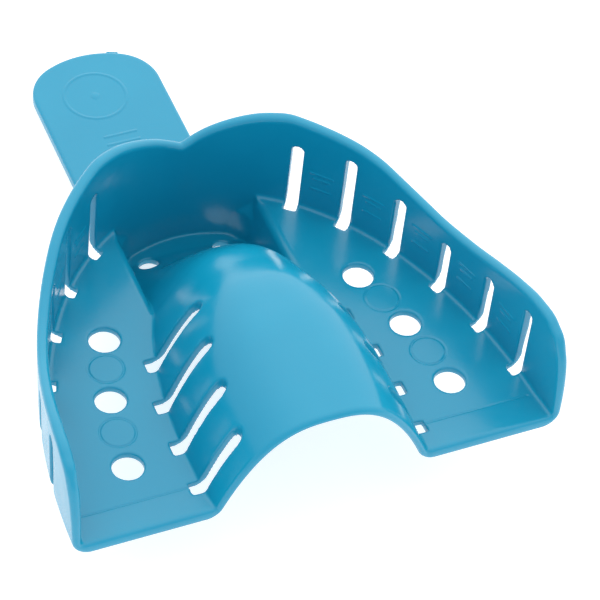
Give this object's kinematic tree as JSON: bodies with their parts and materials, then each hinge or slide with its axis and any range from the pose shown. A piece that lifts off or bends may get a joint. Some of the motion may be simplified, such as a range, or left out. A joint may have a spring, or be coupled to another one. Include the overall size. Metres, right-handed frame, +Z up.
{
  "type": "dental impression tray",
  "caption": "Perforated upper dental impression tray: slotted horseshoe wall, flat side floors, raised palate vault, deep front trough and a flat round-ended handle.",
  "frame": {"origin": "middle of the bounding box, at the level of the handle's underside", "axes": "+Z up into the arch, +Y towards the front teeth and the handle, +X to the patient's left"},
  "size_m": [0.081, 0.1086, 0.0316],
  "materials": {
    "tray_plastic": "gloss, injection moulded, opaque cyan blue"
  },
  "bodies": {
    "root": {"handle": "tray_plastic", "size_ring": "tray_plastic", "size_pip": "tray_plastic", "grip_rib_1": "tray_plastic", "grip_rib_2": "tray_plastic", "grip_rib_3": "tray_plastic", "gate_nub": "tray_plastic", "front_wall": "tray_plastic", "palate_vault": "tray_plastic", "vault_front_slope": "tray_plastic", "trough_floor": "tray_plastic", "left_tongue_wall": "tray_plastic", "right_tongue_wall": "tray_plastic", "left_cheek_wall": "tray_plastic", "right_cheek_wall": "tray_plastic", "left_floor": "tray_plastic", "right_floor": "tray_plastic", "left_heel": "tray_plastic", "right_heel": "tray_plastic", "left_trough_ramp": "tray_plastic", "right_trough_ramp": "tray_plastic"}
  },
  "joints": []
}
